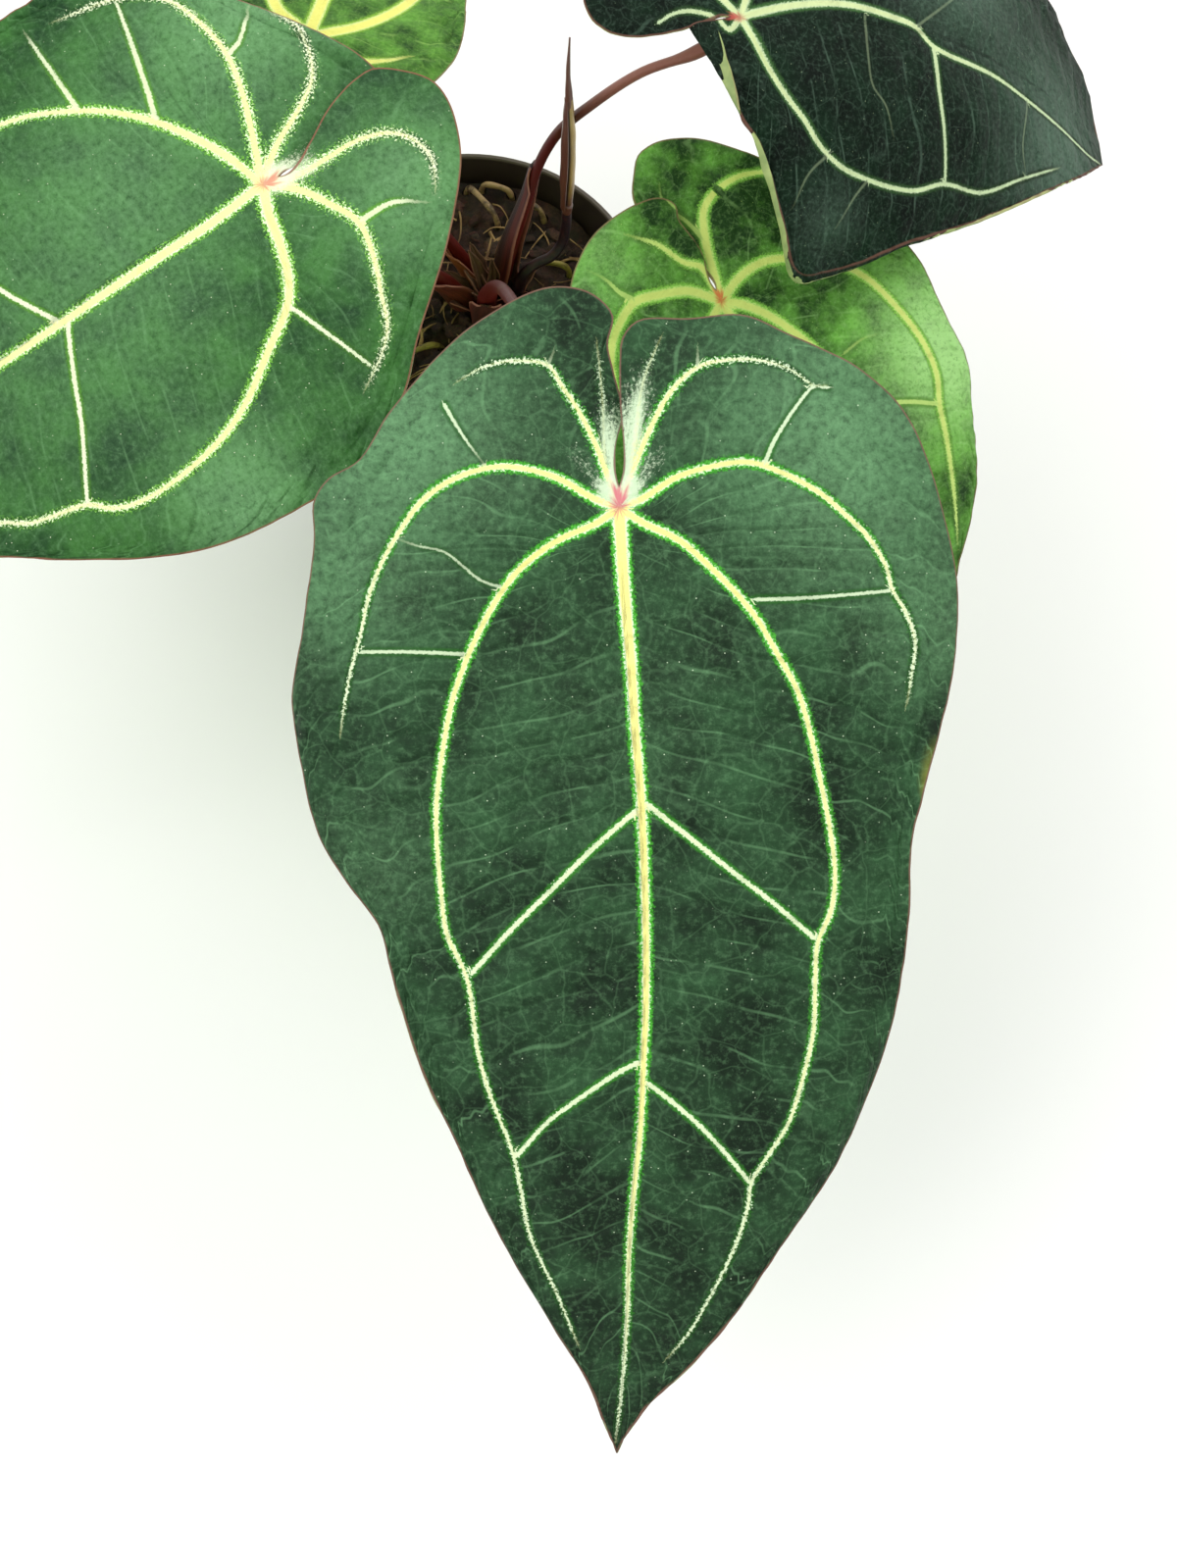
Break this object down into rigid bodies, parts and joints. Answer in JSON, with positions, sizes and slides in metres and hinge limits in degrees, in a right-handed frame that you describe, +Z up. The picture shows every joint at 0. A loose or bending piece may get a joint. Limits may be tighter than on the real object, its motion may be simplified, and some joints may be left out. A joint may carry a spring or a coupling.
{
  "type": "potted anthurium",
  "caption": "Velvet-leaved anthurium: big heart-shaped dark green leaves with pale veins on slender red-brown stalks, growing in a round dark nursery pot of bark mix.",
  "frame": {"origin": "centre of the pot's flat underside, on the surface that the pot stands on", "axes": "+Z up; -Y towards the viewer, the way the largest leaf points; +X to the viewer's right"},
  "size_m": [0.4409, 0.5034, 0.2594],
  "materials": {
    "pot_plastic": "moulded brown-black polypropylene, dull",
    "bark_mix": "rough dark bark and coir",
    "crown_sheaths": "red-brown, dry and papery",
    "aerial_root": "yellow-brown, waxy",
    "front_blade": "very dark green velvet with pale veins",
    "left_blade": "mid green, half velvet, with pale veins",
    "right_blade": "darkest green, quilted, with pale veins",
    "young_blade": "bright green, slightly glossy, with yellow-green veins",
    "back_blade": "light green with broad yellow veins",
    "leaf_stalk": "smooth reddish brown",
    "new_leaf": "coppery and purple brown, slightly glossy"
  },
  "bodies": {
    "root": {"pot": "pot_plastic", "potting_mix": "bark_mix", "crown": "crown_sheaths", "root_1": "aerial_root", "root_2": "aerial_root", "root_3": "aerial_root", "root_4": "aerial_root", "root_5": "aerial_root", "front_leaf_blade": "front_blade", "front_leaf_stalk": "leaf_stalk", "left_leaf_blade": "left_blade", "left_leaf_stalk": "leaf_stalk", "right_leaf_blade": "right_blade", "right_leaf_stalk": "leaf_stalk", "young_leaf_blade": "young_blade", "young_leaf_stalk": "leaf_stalk", "back_leaf_blade": "back_blade", "back_leaf_stalk": "leaf_stalk", "new_leaf_stalk": "new_leaf", "new_leaf_roll": "new_leaf"}
  },
  "joints": []
}
